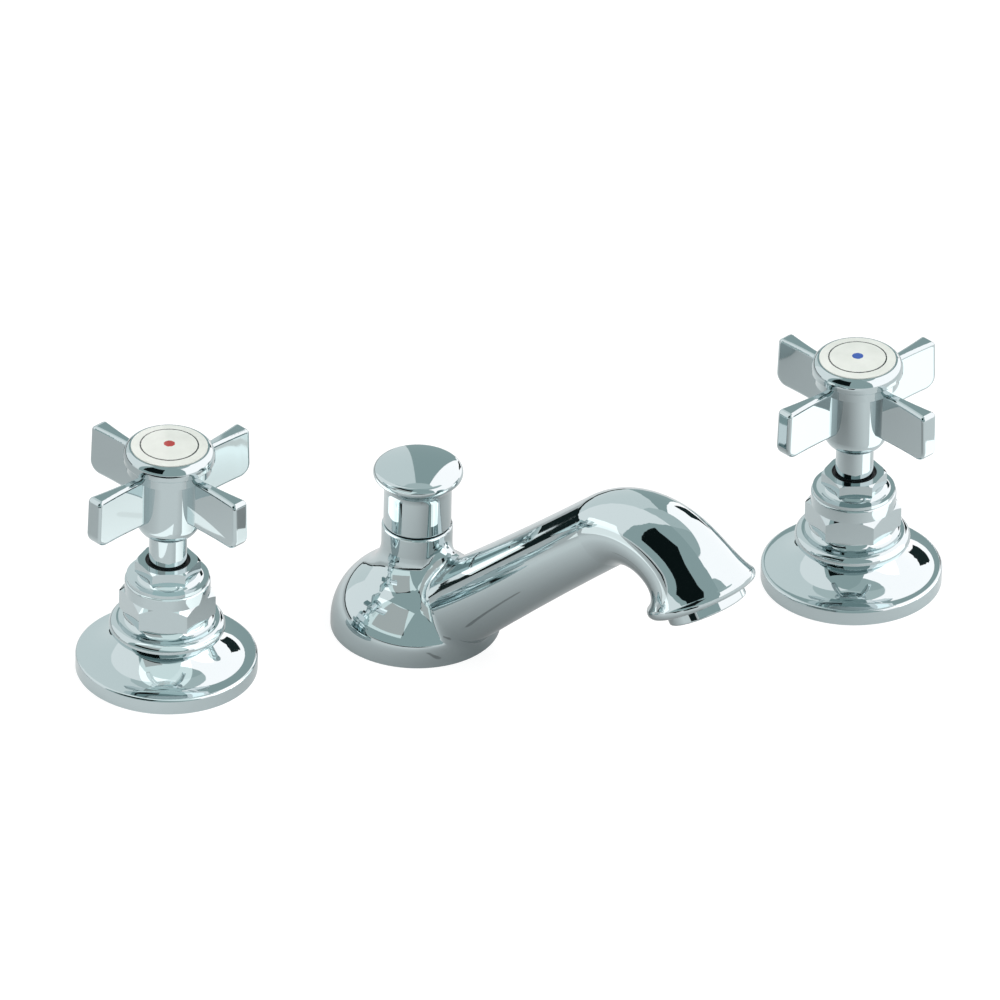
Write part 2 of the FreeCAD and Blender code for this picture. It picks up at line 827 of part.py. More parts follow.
def valve_body(label, place):
    body = new_subpart(label, place)
    top = seat_bonnet - d.body_top_gap
    chest_top = -d.chest_drop
    chest_low = chest_top - d.chest_height
    tail_low = chest_low - d.inlet_length
    turn(
        body,
        "outside",
        [
            (ZERO, tail_low),
            (d.inlet_r, tail_low),
            (d.inlet_r, chest_low),
            (d.chest_r, chest_low),
            (d.chest_r, chest_top),
            (d.body_thread_r, chest_top),
            (d.body_thread_r, top),
            (ZERO, top),
        ],
    )
    middle = chest_top - d.chest_height / 2
    for name, radius, reach in (
        ("outlet_boss", d.outlet_boss_r, d.outlet_boss_reach),
        ("outlet", d.outlet_r, d.outlet_reach),
    ):
        section = new_sketch(body, name, "YZ_Plane")
        circle(section, ZERO, middle, radius)
        extrude(body, name, section, reach)
    bore(body, "inlet_bore", d.inlet_bore_r, tail_low - d.cut_overrun, top + d.cut_overrun)
    bore(body, "head_bore", spigot_r + d.seat_gap, land, top + d.cut_overrun)
    ring_low = middle - d.gallery_ring_height / 2
    ring_in = d.gallery_place - d.gallery_r * d.gallery_ring_share
    ring_out = d.gallery_place + d.gallery_r * d.gallery_ring_share
    turn(body, "gallery_ring", ring_corners(ring_in, ring_out, d.gallery_ring_height, ring_low), "Groove")
    outlet_bore = new_sketch(body, "outlet_bore", "YZ_Plane", turned_place(z=d.outlet_reach))
    circle(outlet_bore, ZERO, middle, d.outlet_bore_r)
    extrude(body, "outlet_bore", outlet_bore, d.outlet_reach - d.outlet_bore_start, "Pocket")
    gallery = new_sketch(body, "gallery", "XY_Plane", turned_place(z=land))
    circle(gallery, d.gallery_place, ZERO, d.gallery_r)
    hole = extrude(body, "gallery", gallery, land - middle, "Pocket")
    copies_round(body, "galleries", [hole], gallery, d.gallery_count)


def backnut(label, place, thread_r):
    body = new_subpart(label, place)
    bore_r = thread_r + d.seat_gap
    flats = (bore_r + d.backnut_wall) * 2
    low = -d.backnut_height
    crown_r = flats / 2
    hexagon(body, "hex", flats, low, d.backnut_height, crown_r, d.hex_chamfer_share)
    bore(body, "thread", bore_r, low - d.cut_overrun, d.cut_overrun)


def deck_clamp(prefix, x, y, face, thread_r):
    """Rubber washer, metal washer and backnut that clamp a shank to the deck from below."""
    inner_r = thread_r + d.seat_gap
    outer_r = inner_r + d.washer_width
    washer_low = -d.deck_thick - d.deck_washer_thick
    plate_low = washer_low - d.clamp_washer_thick
    rubber = turned_place(x, y, washer_low)
    plate = turned_place(x, y, plate_low)
    turned_subpart(f"{prefix}_deck_washer", rubber, ring_corners(inner_r, outer_r, d.deck_washer_thick))
    turned_subpart(f"{prefix}_clamp_washer", plate, ring_corners(inner_r, outer_r, d.clamp_washer_thick))
    backnut(f"{prefix}_backnut", turned_place(x, y, plate_low, angle=face), thread_r)


def valve(prefix, x, face):
    y = d.valve_place_y
    blades = face + size(180) / d.blade_count

    def at(height, angle=face):
        return turned_place(x, y, height, angle=angle)

    escutcheon(f"{prefix}_escutcheon", at(ZERO))
    gasket_r = d.flange_r - d.rim_wall - d.seat_gap
    gasket = ring_corners(gasket_r - d.gasket_width, gasket_r, d.gasket_height)
    turned_subpart(f"{prefix}_flange_gasket", at(ZERO), gasket)
    clamp_ring(f"{prefix}_clamp_ring", at(seat_ring))
    bonnet(f"{prefix}_bonnet", at(seat_bonnet, face + d.bonnet_turn_angle))
    gland_nut(f"{prefix}_gland_nut", at(seat_gland, face + d.gland_turn_angle))
    mouth_floor = seat_gland + gland_top - d.gland_mouth_depth
    seal = ring_corners(d.sleeve_r + d.run_gap, d.gland_mouth_r - d.seat_gap, d.gland_seal_height)
    turned_subpart(f"{prefix}_gland_seal", at(mouth_floor), seal)
    disc_seal_r = cavity_r - d.seat_gap * 2
    disc_seal = ring_corners(disc_seal_r - d.disc_seal_width, disc_seal_r, d.disc_seal_height)
    turned_subpart(f"{prefix}_disc_seal", at(land), disc_seal)
    fixed_r = cavity_r - d.seat_gap
    ported_disc(f"{prefix}_fixed_disc", at(fixed_disc_low), fixed_r, d.fixed_disc_height, "y")
    ported_disc(f"{prefix}_rotating_disc", at(disc_low), d.disc_r, d.disc_height, "x", slot=True)
    spindle(f"{prefix}_spindle", at(ZERO))
    oring_r = d.oring_depth / 2 - d.seat_gap / 2
    groove_top = seat_gland - d.gland_spigot_length - d.free_gap * 2 - d.oring_drop
    oring_z = groove_top - d.oring_depth / 2 - d.seat_gap
    oring_middle = d.spindle_r - d.oring_depth / 2 - d.seat_gap / 4
    torus_subpart(f"{prefix}_spindle_oring", at(ZERO), oring_middle, oring_r, oring_z)
    sleeve_low = mouth_floor + d.free_gap
    sleeve_length = seat_handle + d.sleeve_seat_depth - d.seat_gap - sleeve_low
    sleeve = ring_corners(d.sleeve_r - d.sleeve_wall, d.sleeve_r, sleeve_length)
    turned_subpart(f"{prefix}_stem_sleeve", at(sleeve_low), sleeve)
    cross_handle(f"{prefix}_cross_handle", at(seat_handle, blades))
    handle_screw(f"{prefix}_handle_screw", at(seat_handle + d.hub_floor))
    index_bezel(f"{prefix}_index_bezel", at(seat_bezel))
    index_disc(f"{prefix}_index_disc", at(seat_bezel + d.bezel_floor))
    valve_body(f"{prefix}_valve_body", at(ZERO, d.outlet_angle))
    deck_clamp(prefix, x, y, face, d.body_thread_r)


# Points of the swan neck in the spout's upright plane: start and end of the bend, and the middle of its arc.
bend_start_x = cos(d.neck_angle) * d.neck_length
bend_start_z = sin(d.neck_angle) * d.neck_length + d.neck_foot_z
bend_middle_x = bend_start_x + sin(d.neck_angle) * d.bend_r
bend_middle_z = bend_start_z - cos(d.neck_angle) * d.bend_r
nozzle_lean = d.neck_angle - d.bend_angle
bend_end_x = bend_middle_x - sin(nozzle_lean) * d.bend_r
bend_end_z = bend_middle_z + cos(nozzle_lean) * d.bend_r
neck_frame = turned_place(y=d.neck_foot_z, angle=d.neck_angle - 90)
nozzle_frame = turned_place(bend_end_x, bend_end_z, angle=nozzle_lean - 90)
spout_place = turned_place(angle=d.spout_face_angle)


def bend_section(body, name, share, radius):
    """Round section across the neck's arc, at a share of its length."""
    turned = d.bend_angle * share - d.neck_angle
    place = turned_place(y=bend_middle_z, z=bend_middle_x, axis="1; 0; 0", angle=turned)
    sketch = new_sketch(body, name, "YZ_Plane", place)
    circle(sketch, ZERO, d.bend_r, radius)
    return sketch


def bend(body, flare_r):
    """Tube round the neck's arc, swelling slowly at first and flaring like a trumpet at its end."""
    flare = flare_r - d.neck_r - d.bend_swell
    sections = []
    for share in BEND_SHARES:
        radius = d.neck_r + d.bend_swell * share**SWELL_POWER + flare * share**FLARE_POWER
        sections.append(bend_section(body, f"bend_{len(sections)}", share, radius))
    loft = feature(body, "AdditiveLoft", "bend", sections[0])
    loft.Sections = sections[1:]


def bend_bore(body):
    """Waterway round the neck's arc, about the level line through the arc's middle."""
    sketch = bend_section(body, "bend_bore", ZERO, d.water_r)
    made = feature(body, "Groove", "bend_bore", sketch)
    made.ReferenceAxis = (sketch, ["H_Axis"])
    made.setExpression("Angle", d.bend_angle.text)


def spout_body(label):
    body = new_subpart(label, spout_place)
    foot = (d.dome_r, d.dome_foot)
    waist = (d.turret_r, d.turret_waist)
    turnover = tuple(a + (b - a) * d.dome_share for a, b in zip(foot, waist))
    turn(
        body,
        "dome",
        [
            (ZERO, ZERO),
            (d.dome_r, ZERO),
            (*foot, "left", upright_swell(foot, turnover)),
            (*turnover, "right", upright_swell(turnover, waist)),
            waist,
            (d.turret_r, d.turret_height - d.turret_round, "left", d.turret_round),
            (d.turret_r - d.turret_round, d.turret_height),
            (ZERO, d.turret_height),
        ],
    )
    root = (d.neck_start_r, d.neck_start)
    slim = (d.neck_r, d.neck_length)
    neck = [
        (ZERO, d.neck_start),
        (*root, "right", upright_swell(root, slim)),
        slim,
        (ZERO, d.neck_length),
    ]
    made = turn(body, "neck", neck, offset=neck_frame)
    doc.recompute()
    edges = [k for k, e in enumerate(made.Shape.Edges, 1) if isinstance(e.Curve, Part.BSplineCurve)]
    blend = body.newObject("PartDesign::Fillet", f"{label}_blend")
    blend.Base = (made, [f"Edge{k}" for k in edges])
    blend.setExpression("Radius", d.neck_blend_r.text)
    body.Tip = blend
    bead_in = d.nozzle_lip_r - d.nozzle_bead_r
    flare_r = bead_in + cos(d.nozzle_flare_angle) * d.nozzle_bead_r
    lip_place = sin(d.nozzle_flare_angle) * d.nozzle_bead_r
    bend(body, flare_r)
    nozzle = [
        (ZERO, ZERO),
        (flare_r, ZERO, "left", d.nozzle_bead_r),
        (d.nozzle_lip_r, lip_place, "left", d.nozzle_bead_r),
        (bead_in, lip_place + d.nozzle_bead_r),
        (d.nozzle_mouth_r, d.nozzle_length),
        (ZERO, d.nozzle_length),
    ]
    turn(body, "nozzle", nozzle, offset=nozzle_frame)
    shank = d.shank_r + d.seat_gap
    guide = d.guide_r + d.seat_gap
    gland = d.rod_gland_r + d.seat_gap
    gland_floor = d.turret_height - d.rod_gland_height
    chamber = [
        (ZERO, -d.cut_overrun),
        (shank, -d.cut_overrun),
        (shank, d.chamber_top),
        (guide, d.chamber_top),
        (guide, gland_floor),
        (gland, gland_floor),
        (gland, d.turret_height + d.cut_overrun),
        (ZERO, d.turret_height + d.cut_overrun),
    ]
    turn(body, "chamber", chamber, "Groove")
    trench_r = d.dome_gasket_place + d.gasket_width
    trench_height = d.gasket_height + d.cut_overrun
    trench = ring_corners(d.dome_gasket_place, trench_r, trench_height, -d.cut_overrun)
    turn(body, "gasket_trench", trench, "Groove")
    waterway = [
        (ZERO, d.water_start),
        (d.water_r, d.water_start),
        (d.water_r, d.neck_length),
        (ZERO, d.neck_length),
    ]
    turn(body, "neck_bore", waterway, "Groove", neck_frame)
    bend_bore(body)
    past = d.nozzle_length + d.cut_overrun
    outlet = [
        (ZERO, d.socket_start),
        (d.socket_r, d.socket_start),
        (d.socket_r, past),
        (ZERO, past),
    ]
    turn(body, "nozzle_bore", outlet, "Groove", nozzle_frame)


def nozzle_place(along):
    """Frame on the nozzle's axis, its upright axis along the flow, at a distance from the end of the bend."""
    flow_angle = -nozzle_lean + 90
    x = bend_end_x + cos(nozzle_lean) * along
    z = bend_end_z + sin(nozzle_lean) * along
    return f"{spout_place} * {turned_place(x=x, z=z, axis='0; 1; 0', angle=flow_angle)}"


def aerator():
    spigot_top = d.socket_start + d.aerator_washer_thick
    spigot = d.socket_r - d.seat_gap
    washer = ring_corners(spigot - d.aerator_washer_width, spigot, d.aerator_washer_thick)
    turned_subpart("aerator_washer", nozzle_place(d.socket_start), washer)
    hidden = d.nozzle_length - spigot_top
    end = hidden + d.aerator_show
    edge = d.aerator_round
    turned_subpart(
        "aerator_housing",
        nozzle_place(spigot_top),
        [
            (d.aerator_bore_r, ZERO),
            (spigot, ZERO),
            (spigot, hidden),
            (d.aerator_r, hidden),
            (d.aerator_r, end - edge, "left", edge),
            (d.aerator_r - edge, end),
            (d.aerator_bore_r - d.aerator_lip, end),
            (d.aerator_bore_r - d.aerator_lip, end - d.aerator_lip),
            (d.aerator_bore_r, end - d.aerator_lip),
        ],
    )
    body = new_subpart("aerator_insert", nozzle_place(spigot_top))
    outer = d.aerator_bore_r - d.seat_gap
    low = end - d.aerator_lip
    plate = low - d.aerator_plate
    cup = [
        (outer - d.aerator_wall, ZERO),
        (outer, ZERO),
        (outer, low),
        (ZERO, low),
        (ZERO, plate),
        (outer - d.aerator_wall, plate),
    ]
    turn(body, "cup", cup)
    rows = (
        ("outer", d.aerator_outer_place, d.aerator_outer_count),
        ("inner", d.aerator_inner_place, d.aerator_inner_count),
    )
    for name, place, count in rows:
        sketch = new_sketch(body, name, "XY_Plane", turned_place(z=low))
        circle(sketch, place, ZERO, d.aerator_hole_r)
        hole = extrude(body, f"{name}_hole", sketch, d.aerator_plate, "Pocket")
        copies_round(body, f"{name}_holes", [hole], sketch, count)


def waste_lift():
    low = d.turret_height + d.free_gap
    edge = d.knob_skirt_round
    under, slope, rim = d.knob_under_angle, d.knob_slope_angle, d.knob_rim_round
    rim_in = d.knob_r - rim
    rim_low = (rim_in + cos(under) * rim, d.knob_rim_place - sin(under) * rim)
    cove = (rim_low[0] - d.knob_skirt_r) * (cos(under) + 1) / sin(under)
    skirt_top = (d.knob_skirt_r, rim_low[1] - cove)
    rim_top = (rim_in + sin(slope) * rim, d.knob_rim_place + cos(slope) * rim)
    crown = (ZERO, rim_top[1] + rim_top[0] * (size(1) - cos(slope)) / sin(slope))
    socket_r = d.rod_r + d.seat_gap
    turned_subpart(
        "waste_knob",
        turned_place(z=low, angle=d.spout_face_angle),
        [
            (socket_r, ZERO),
            (d.knob_skirt_r - edge, ZERO, "left", edge),
            (d.knob_skirt_r, edge),
            (*skirt_top, "right", upright_swell(skirt_top, rim_low)),
            (*rim_low, "left", rim),
            (d.knob_r, d.knob_rim_place, "left", rim),
            (*rim_top, "left", level_swell(rim_top, crown)),
            crown,
            (ZERO, d.knob_socket),
            (socket_r, d.knob_socket),
        ],
    )
    rod_top = low + d.knob_socket - d.seat_gap
    tail_top = d.rod_tail_length - d.rod_drop
    rod = [
        (ZERO, -d.rod_drop),
        (d.rod_tail_r, -d.rod_drop),
        (d.rod_tail_r, tail_top),
        (d.rod_r, tail_top),
        (d.rod_r, rod_top),
        (ZERO, rod_top),
    ]
    turned_subpart("lift_rod", spout_place, rod)
    gland_floor = d.turret_height - d.rod_gland_height
    bore_r = d.rod_r + d.run_gap
    groove_low = d.rod_oring_place - d.rod_oring_depth / 2
    groove_top = d.rod_oring_place + d.rod_oring_depth / 2
    groove_r = bore_r + d.rod_oring_depth
    turned_subpart(
        "rod_gland",
        turned_place(z=gland_floor, angle=d.spout_face_angle),
        [
            (bore_r, ZERO),
            (d.rod_gland_r, ZERO),
            (d.rod_gland_r, d.rod_gland_height),
            (bore_r, d.rod_gland_height),
            (bore_r, groove_top),
            (groove_r, groove_top),
            (groove_r, groove_low),
            (bore_r, groove_low),
        ],
    )
    tube_r = d.rod_oring_depth / 2 - d.seat_gap / 2
    middle_r = bore_r + d.rod_oring_depth / 2
    torus_subpart("rod_oring", spout_place, middle_r, tube_r, gland_floor + d.rod_oring_place)
    guide_low = -d.shank_drop + d.tee_socket - d.tee_height - d.tee_nut_height - d.guide_show
    guide_in = d.rod_r + d.guide_bore_gap
    guide = ring_corners(guide_in, d.guide_r, gland_floor - guide_low)
    turned_subpart("guide_tube", turned_place(z=guide_low, angle=d.spout_face_angle), guide)


def spout_supply():
    shank = ring_corners(d.shank_bore_r, d.shank_r, d.shank_drop + d.shank_engage)
    turned_subpart("spout_shank", turned_place(z=-d.shank_drop), shank)
    slack = d.seat_gap
    inner = d.dome_gasket_place + slack
    gasket = ring_corners(inner, inner + d.gasket_width - slack * 2, d.gasket_height - slack)
    turned_subpart("spout_base_gasket", turned_place(), gasket)
    deck_clamp("spout", ZERO, ZERO, ZERO, d.shank_r)
    tee_top = d.tee_socket - d.shank_drop
    body = new_subpart("inlet_tee", turned_place(z=tee_top, angle=d.tee_angle))
    low = -d.tee_height
    turn(body, "outside", [(ZERO, low), (d.tee_r, low), (d.tee_r, ZERO), (ZERO, ZERO)])
    port_z = -d.tee_port_drop
    for name, radius, reach in (
        ("bosses", d.tee_boss_r, d.tee_boss_reach),
        ("ports", d.tee_port_r, d.tee_port_reach),
    ):
        section = new_sketch(body, name, "YZ_Plane", turned_place(z=-reach))
        circle(section, ZERO, port_z, radius)
        extrude(body, name, section, reach * 2)
    floor = low + d.tee_floor
    socket = d.shank_r + d.seat_gap
    guide = d.guide_r + d.seat_gap
    hollow = [
        (ZERO, low - d.cut_overrun),
        (guide, low - d.cut_overrun),
        (guide, floor),
        (d.tee_chamber_r, floor),
        (d.tee_chamber_r, -d.tee_socket),
        (socket, -d.tee_socket),
        (socket, d.cut_overrun),
        (ZERO, d.cut_overrun),
    ]
    turn(body, "hollow", hollow, "Groove")
    bores = new_sketch(body, "port_bores", "YZ_Plane", turned_place(z=d.tee_port_reach))
    circle(bores, ZERO, port_z, d.tee_port_bore_r)
    extrude(body, "port_bores", bores, d.tee_port_reach * 2, "Pocket")
    nut = new_subpart("tee_gland_nut", turned_place(z=tee_top + low - d.tee_nut_height))
    crown_r = d.tee_nut_flats / 2
    hexagon(nut, "hex", d.tee_nut_flats, ZERO, d.tee_nut_height, crown_r, d.hex_chamfer_share)
    bore(nut, "guide_bore", guide, -d.cut_overrun, d.tee_nut_height + d.cut_overrun)


def write_steps():
    doc.recompute()
    for item in doc.Objects:
        bad = [state for state in item.State if state in ("Invalid", "Error")]
        if bad:
            raise RuntimeError(f"{item.Label}: {bad} {item.getStatusString()}")
    for body in subparts:
        shape = body.Shape
        if shape.isNull() or not shape.isValid() or len(shape.Solids) != 1:
            raise RuntimeError(f"{body.Label}: {len(shape.Solids)} solids, valid {shape.isValid()}")
    os.makedirs("parts", exist_ok=True)
    for body in subparts:
        body.Shape.exportStep(f"parts/{body.Label}.step")


valve("hot", d.hot_place_x, d.hot_face_angle)
valve("cold", d.cold_place_x, d.cold_face_angle)
spout_body("spout_body")
aerator()
waste_lift()
spout_supply()
write_steps()
print(len(subparts), "sub-parts written")
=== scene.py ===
import json
import math

import bpy
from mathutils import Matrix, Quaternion, Vector


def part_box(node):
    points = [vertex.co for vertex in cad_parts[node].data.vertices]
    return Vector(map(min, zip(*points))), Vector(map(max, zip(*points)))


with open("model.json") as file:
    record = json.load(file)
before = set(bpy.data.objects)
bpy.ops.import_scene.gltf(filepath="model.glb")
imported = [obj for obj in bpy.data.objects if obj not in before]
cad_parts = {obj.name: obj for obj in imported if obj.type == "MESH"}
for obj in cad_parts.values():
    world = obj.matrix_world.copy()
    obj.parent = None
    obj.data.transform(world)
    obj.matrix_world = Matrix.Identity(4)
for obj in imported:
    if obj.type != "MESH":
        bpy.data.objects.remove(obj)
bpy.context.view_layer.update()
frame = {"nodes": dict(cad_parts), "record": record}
NODES = frame["nodes"]
SCENE = bpy.context.scene
MM = 0.001
UP = Vector((0, 0, 1))
SIDES = ("hot", "cold")


# Camera: the photograph's viewing angle, through a long lens

TARGET = Vector((32.49, 23.32, 25.0)) * MM
CAMERA_AZIMUTH = -15.55
CAMERA_ELEVATION = 32.5
CAMERA_ROLL = 1.2
CAMERA_DISTANCE = 8.0
CLIP_START = 0.01
CLIP_END = 50
LENS = 941.8
SENSOR = 36.0


def direction(azimuth, elevation):
    """Unit vector: azimuth 0 is towards the front, -Y, and + is towards +X."""
    a, e = math.radians(azimuth), math.radians(elevation)
    return Vector((math.sin(a) * math.cos(e), -math.cos(a) * math.cos(e), math.sin(e)))


def add_camera():
    data = bpy.data.cameras.new("camera")
    data.lens = LENS
    data.sensor_width = SENSOR
    data.clip_start = CLIP_START
    data.clip_end = CLIP_END
    camera = bpy.data.objects.new("camera", data)
    SCENE.collection.objects.link(camera)
    back = direction(CAMERA_AZIMUTH, CAMERA_ELEVATION)
    camera.location = TARGET + back * CAMERA_DISTANCE
    camera.rotation_mode = "QUATERNION"
    roll = Quaternion(UP, math.radians(CAMERA_ROLL))
    camera.rotation_quaternion = (-back).to_track_quat("-Z", "Y") @ roll
    SCENE.camera = camera


def axis_of(node):
    """Foot of a round node's upright axis, on the deck."""
    low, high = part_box(node)
    return Vector(((low[0] + high[0]) / 2, (low[1] + high[1]) / 2, 0))


# Materials: the scale of a noise is per metre

NOISE_ROUGHNESS = 0.55
NOISE_SPAN = (0.3, 0.7)
METAL = 1.0


class Nodes:
    """A short way to write a material's node tree."""

    def __init__(self, name):
        self.material = bpy.data.materials.new(name)
        self.material.use_nodes = True
        self.tree = self.material.node_tree
        self.shader = self.tree.nodes["Principled BSDF"]
        self.out = self.tree.nodes["Material Output"]
        self.coords = None

    def add(self, kind, **settings):
        node = self.tree.nodes.new(kind)
        for key, value in settings.items():
            setattr(node, key, value)
        return node

    def link(self, a, b):
        self.tree.links.new(a, b)

    def feed(self, socket, value):
        """Links a node's output to the socket, or sets a plain value on it."""
        if isinstance(value, bpy.types.NodeSocket):
            self.link(value, socket)
        else:
            socket.default_value = value

    def place(self):
        """The object's own coordinates, in metres: they follow a piece that moves."""
        if self.coords is None:
            self.coords = self.add("ShaderNodeTexCoord")
        return self.coords.outputs["Object"]

    def noise(self, scale, detail, stretch=None):
        node = self.add("ShaderNodeTexNoise")
        node.inputs["Scale"].default_value = scale
        node.inputs["Detail"].default_value = detail
        node.inputs["Roughness"].default_value = NOISE_ROUGHNESS
        where = self.place()
        if stretch:
            mapping = self.add("ShaderNodeMapping")
            mapping.inputs["Scale"].default_value = stretch
            self.link(where, mapping.inputs["Vector"])
            where = mapping.outputs["Vector"]
        self.link(where, node.inputs["Vector"])
        return node.outputs["Fac"]

    def ramp(self, value, result, span=NOISE_SPAN):
        """Maps a span of the value to the two ends of result, and holds it there beyond them."""
        node = self.add("ShaderNodeMapRange")
        names = ("From Min", "From Max", "To Min", "To Max")
        for name, number in zip(names, (*span, *result)):
            node.inputs[name].default_value = number
        self.link(value, node.inputs["Value"])
        return node.outputs["Result"]

    def math(self, operation, *values):
        node = self.add("ShaderNodeMath", operation=operation)
        for socket, value in zip(node.inputs, values):
            self.feed(socket, value)
        return node.outputs["Value"]

    def vector_math(self, operation, a, b):
        node = self.add("ShaderNodeVectorMath", operation=operation)
        self.feed(node.inputs[0], a)
        self.feed(node.inputs[1], b)
        return node.outputs

    def colours(self, value, stops):
        node = self.add("ShaderNodeValToRGB")
        elements = node.color_ramp.elements
        while len(elements) < len(stops):
            elements.new(0.5)
        for element, (at, colour) in zip(elements, stops):
            element.position = at
            element.color = (*colour, 1)
        self.link(value, node.inputs["Fac"])
        return node.outputs["Color"]

    def from_line(self, start, end):
        """Distance from the straight line that joins two points."""
        run = end - start
        away = self.vector_math("SUBTRACT", self.place(), start)["Vector"]
        along = self.vector_math("DOT_PRODUCT", away, run / run.length_squared)["Value"]
        share = self.add("ShaderNodeClamp")
        self.link(along, share.inputs["Value"])
        foot = self.add("ShaderNodeVectorMath", operation="SCALE")
        foot.inputs[0].default_value = run
        self.link(share.outputs["Result"], foot.inputs["Scale"])
        return self.vector_math("DISTANCE", away, foot.outputs["Vector"])["Value"]

    def bump(self, height, depth, strength=1.0):
        node = self.add("ShaderNodeBump")
        node.inputs["Strength"].default_value = strength
        node.inputs["Distance"].default_value = depth
        self.link(height, node.inputs["Height"])
        return node.outputs["Normal"]

    def set(self, **sockets):
        """Names use _ for a space; a colour gets its alpha, and a node output is linked."""
        for key, value in sockets.items():
            if isinstance(value, tuple):
                value = (*value, 1)
            self.feed(self.shader.inputs[key.replace("_", " ")], value)
        return self.material

    def surface(self, shader):
        """Uses this shader in place of the one that set() fills in."""
        self.link(shader, self.out.inputs["Surface"])
        self.tree.nodes.remove(self.shader)
        return self.material


CHROME_COLOUR = (0.515, 0.60, 0.615)
CHROME_ROUGHNESS = (0.018, 0.05)
CHROME_HAZE_SPAN = (0.35, 0.75)


def chrome_material():
    """A cool mirror, with a faint haze and slow waves."""
    n = Nodes("chrome")
    haze = n.ramp(n.noise(scale=60, detail=3), CHROME_ROUGHNESS, CHROME_HAZE_SPAN)
    waves = n.bump(n.noise(scale=45, detail=1), depth=0.02 * MM)
    return n.set(Base_Color=CHROME_COLOUR, Metallic=METAL, Roughness=haze, Normal=waves)


def mottled_material(name, tones, tone_noise, roughness, rough_noise, grain_noise, grain, metallic=0.0):
    """Changing tone and roughness over a fine grain, which has a depth and a strength."""
    n = Nodes(name)
    tone = n.colours(n.noise(**tone_noise), tones)
    dull = n.ramp(n.noise(**rough_noise), roughness)
    normal = n.bump(n.noise(**grain_noise), **grain)
    return n.set(Base_Color=tone, Metallic=metallic, Roughness=dull, Normal=normal)


def brass_material():
    """Raw and a little stained, with the marks of turning."""
    return mottled_material(
        "brass",
        tones=((0.3, (0.45, 0.27, 0.09)), (0.6, (0.62, 0.41, 0.16)), (0.8, (0.70, 0.50, 0.22))),
        tone_noise=dict(scale=55, detail=5),
        roughness=(0.22, 0.42),
        rough_noise=dict(scale=90, detail=4),
        grain_noise=dict(scale=900, detail=2, stretch=(0.02, 0.02, 1)),
        grain=dict(depth=0.06 * MM, strength=0.5),
        metallic=METAL,
    )


def steel_material():
    """Brushed: the lines of the brush are in its roughness too."""
    brushed = dict(scale=700, detail=2, stretch=(1, 0.03, 1))
    return mottled_material(
        "stainless",
        tones=((0.3, (0.46, 0.46, 0.45)), (0.7, (0.62, 0.62, 0.61))),
        tone_noise=dict(scale=70, detail=4),
        roughness=(0.24, 0.42),
        rough_noise=brushed,
        grain_noise=brushed,
        grain=dict(depth=0.03 * MM, strength=0.4),
        metallic=METAL,
    )


def rubber_material():
    return mottled_material(
        "rubber",
        tones=((0.3, (0.012, 0.012, 0.013)), (0.75, (0.030, 0.030, 0.032))),
        tone_noise=dict(scale=240, detail=5),
        roughness=(0.55, 0.75),
        rough_noise=dict(scale=120, detail=3),
        grain_noise=dict(scale=1800, detail=3),
        grain=dict(depth=0.04 * MM, strength=0.6),
    )


def ceramic_material():
    return mottled_material(
        "disc_ceramic",
        tones=((0.3, (0.70, 0.69, 0.66)), (0.7, (0.80, 0.79, 0.77))),
        tone_noise=dict(scale=300, detail=4),
        roughness=(0.30, 0.45),
        rough_noise=dict(scale=150, detail=3),
        grain_noise=dict(scale=1500, detail=2),
        grain=dict(depth=0.02 * MM, strength=0.4),
    )


def plastic_material():
    return mottled_material(
        "aerator_plastic",
        tones=((0.3, (0.60, 0.61, 0.62)), (0.7, (0.72, 0.73, 0.74))),
        tone_noise=dict(scale=200, detail=4),
        roughness=(0.32, 0.5),
        rough_noise=dict(scale=160, detail=3),
        grain_noise=dict(scale=1200, detail=2),
        grain=dict(depth=0.03 * MM, strength=0.4),
    )


PORCELAIN_TONES = ((0.3, (0.70, 0.73, 0.68)), (0.7, (0.77, 0.80, 0.75)))
PORCELAIN_ROUGHNESS = (0.07, 0.14)
INDEX_INK = (0.035, 0.04, 0.04)
INDEX_DOTS = {"hot": (0.42, 0.03, 0.025), "cold": (0.03, 0.09, 0.40)}
INDEX_RING_R = 8.8 * MM
INDEX_RING_HALF = 0.22 * MM
INDEX_DOT_R = 1.7 * MM
INDEX_BLEED = 0.06 * MM


def porcelain_material(side):
    """Glazed white, with a thin printed ring and a dot of the side's colour in the middle."""
    n = Nodes(f"{side}_porcelain")
    tone = n.colours(n.noise(scale=160, detail=4), PORCELAIN_TONES)
    axis = axis_of(f"{side}_index_disc")
    bleed = n.ramp(n.noise(scale=2500, detail=2), (-INDEX_BLEED, INDEX_BLEED))
    radius = n.math("ADD", n.from_line(axis, axis + UP), bleed)
    off_ring = n.math("ABSOLUTE", n.math("SUBTRACT", radius, INDEX_RING_R))
    ring = n.math("LESS_THAN", off_ring, INDEX_RING_HALF)
    spot = n.math("LESS_THAN", radius, INDEX_DOT_R)
    for mask, ink in ((ring, INDEX_INK), (spot, INDEX_DOTS[side])):
        mix = n.add("ShaderNodeMix", data_type="RGBA")
        n.link(mask, mix.inputs["Factor"])
        n.link(tone, mix.inputs["A"])
        mix.inputs["B"].default_value = (*ink, 1)
        tone = mix.outputs["Result"]
    roughness = n.ramp(n.noise(scale=90, detail=3), PORCELAIN_ROUGHNESS)
    normal = n.bump(n.noise(scale=220, detail=2), depth=0.03 * MM, strength=0.5)
    n.set(Base_Color=tone, Roughness=roughness, Normal=normal)
    return n.set(Coat_Weight=0.5, Coat_Roughness=0.03)


